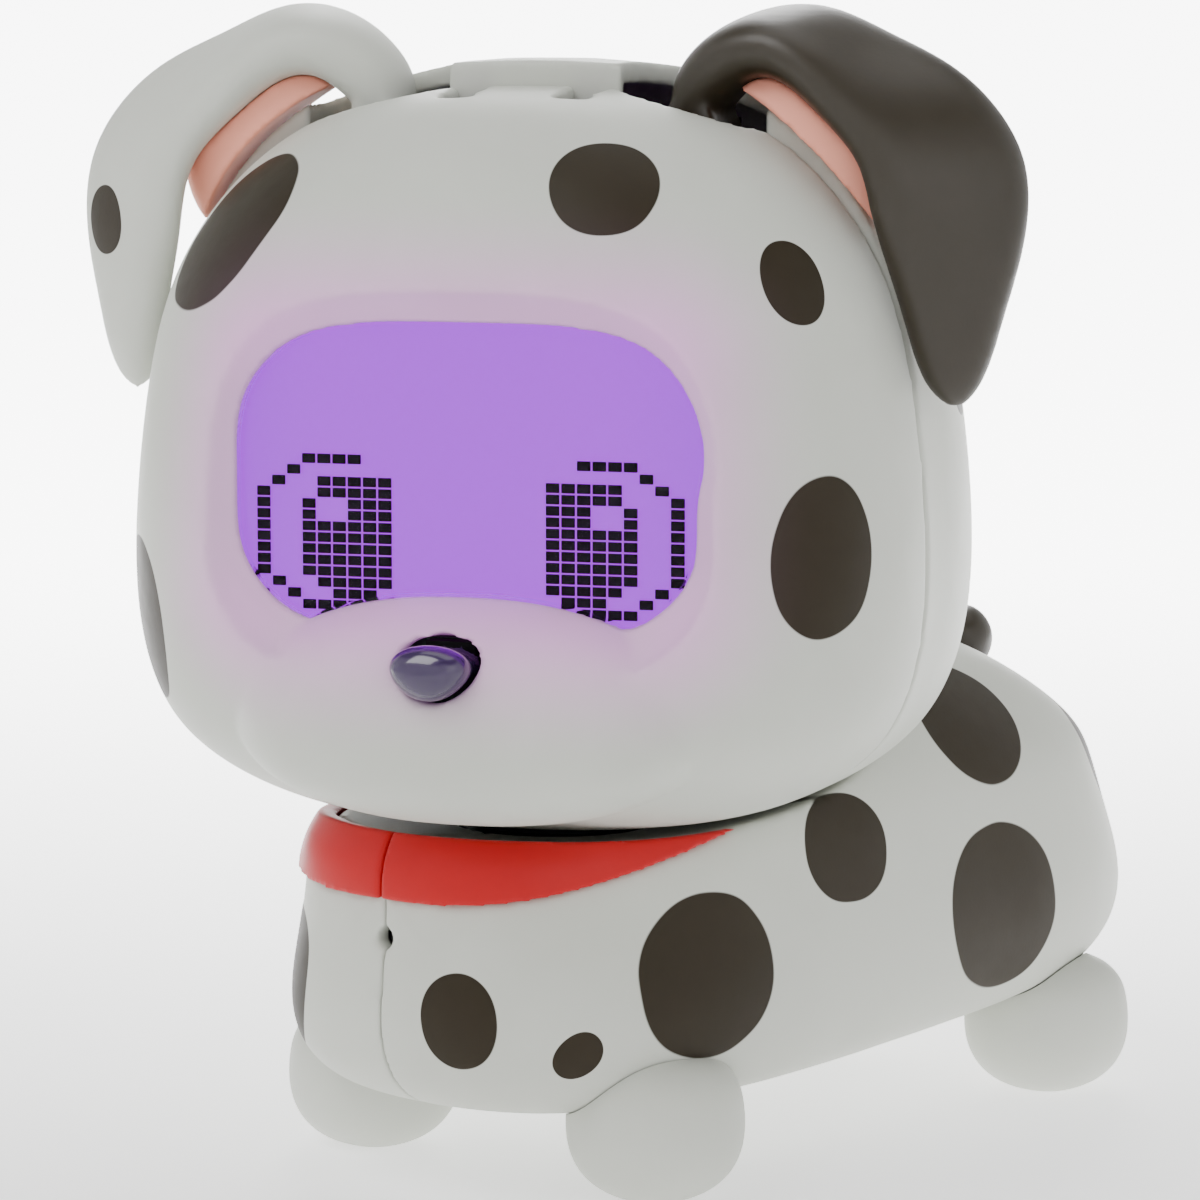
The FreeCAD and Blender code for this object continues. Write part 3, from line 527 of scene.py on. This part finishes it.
MOULDINGS = [
    # nodes, mesh step in millimetres, pull on each vertex, rounds of melting, material
    (("body_shell_left", "body_shell_right"), 0.45, chest_kept, 6, "body_shell"),
    (("head_rear_shell",), 0.50, rear_weight, 5, "head_shell"),
    (("head_front_shell",), 0.50, face_weight, 14, "head_shell"),
    (("collar_left", "collar_right"), 0.30, even_weight(0.4), 4, "collar_red"),
    (("ear_left",), 0.50, even_weight(0.5), 8, "ear_dark"),
    (("ear_right",), 0.50, even_weight(0.5), 8, "ear_light"),
    (("inner_ear_left", "inner_ear_right"), 0.40, even_weight(0.5), 6, "lining_pink"),
    (("nose_button",), 0.25, even_weight(0.5), 30, "nose_plum"),
]

for nodes, step, weigh, rounds, material in MOULDINGS:
    for name in nodes:
        dress(moulded_copy(name, step * MM, weigh, rounds), MATERIALS[material])

screen_picture()


# Camera, floor and light, in metres and watts

SIGHT_DISTANCE, SIGHT_AZIMUTH, SIGHT_HEIGHT = 0.560, math.radians(38.92), 0.1266
SIGHT_TURN, SIGHT_DIP = math.radians(1.36), math.radians(7.0)
LENS = 152.7
FLOOR_NEAR_LIGHT, FLOOR_FAR_LIGHT = 0.30, 7.0
SURROUND_LIGHT = 0.20
KEY_POWER, FILL_POWER, TOP_POWER = 4.7, 0.9, 2.3


def photo_camera():
    """Camera at the dog's front left, a little above its head, looking slightly down."""
    data = bpy.data.cameras.new("camera")
    data.lens = LENS
    data.sensor_width = 36.0
    camera = bpy.data.objects.new("camera", data)
    bpy.context.scene.collection.objects.link(camera)
    ground = Vector((NECK.x, NECK.y + 0.028, 0.0))
    way = Vector((math.sin(SIGHT_AZIMUTH), -math.cos(SIGHT_AZIMUTH), 0.0))
    camera.location = ground + way * SIGHT_DISTANCE + Vector((0, 0, SIGHT_HEIGHT))
    camera.rotation_euler = (math.pi / 2 - SIGHT_DIP, 0.0, SIGHT_AZIMUTH + SIGHT_TURN)
    bpy.context.scene.camera = camera


def soft_light(name, place, target, size, power):
    data = bpy.data.lights.new(name, "AREA")
    data.shape = "SQUARE"
    data.size = size
    data.energy = power
    lamp = bpy.data.objects.new(name, data)
    bpy.context.scene.collection.objects.link(lamp)
    lamp.location = place
    lamp.rotation_euler = (Vector(target) - Vector(place)).to_track_quat("-Z", "Y").to_euler()


def floor_material():
    """White paper with a strip behind the toy that is lit up more and more, so it fades to white."""
    graph = Graph("floor_paper")
    backwards = (-math.sin(SIGHT_AZIMUTH), math.cos(SIGHT_AZIMUTH), 0.0)
    sideways = (math.cos(SIGHT_AZIMUTH), math.sin(SIGHT_AZIMUTH), 0.0)
    away = graph.vector("DOT_PRODUCT", graph.place(), backwards)
    across = graph.math("ABSOLUTE", graph.vector("DOT_PRODUCT", graph.place(), sideways))
    strip = graph.math("SUBTRACT", 1.0, graph.ramp(across, 0.30, 0.65))
    graph.set(Base_Color=(0.90, 0.90, 0.90, 1.0), Roughness=0.9, Emission_Color=(1.0, 1.0, 1.0, 1.0))
    rise = graph.math("MULTIPLY", graph.ramp(away, -0.15, 0.6), FLOOR_FAR_LIGHT)
    rise = graph.math("MULTIPLY", rise, strip)
    graph.set(Emission_Strength=graph.math("ADD", rise, FLOOR_NEAR_LIGHT))
    return graph.material


def studio():
    """Pale floor that curves up all round, white surroundings and three broad soft lamps."""
    mesh = bpy.data.meshes.new("floor")
    build = bmesh.new()
    bmesh.ops.create_grid(build, x_segments=80, y_segments=80, size=4.0)
    for vert in build.verts:
        vert.co.z = 0.35 * max(0.0, math.hypot(vert.co.x, vert.co.y) - 0.9) ** 2
    build.to_mesh(mesh)
    build.free()
    mesh.shade_smooth()
    floor = bpy.data.objects.new("floor", mesh)
    bpy.context.scene.collection.objects.link(floor)
    dress(floor, floor_material())
    world = bpy.data.worlds.new("surroundings")
    world.use_nodes = True
    world.node_tree.nodes["Background"].inputs[0].default_value = (1.0, 1.0, 1.0, 1.0)
    world.node_tree.nodes["Background"].inputs[1].default_value = SURROUND_LIGHT
    bpy.context.scene.world = world
    middle = (0.0, 0.0, 0.06)
    soft_light("key", (-0.10, -0.60, 0.90), middle, 0.5, KEY_POWER)
    soft_light("fill", (0.85, -0.25, 0.45), middle, 0.7, FILL_POWER)
    soft_light("top", (0.0, 0.15, 0.95), middle, 0.7, TOP_POWER)


photo_camera()
studio()
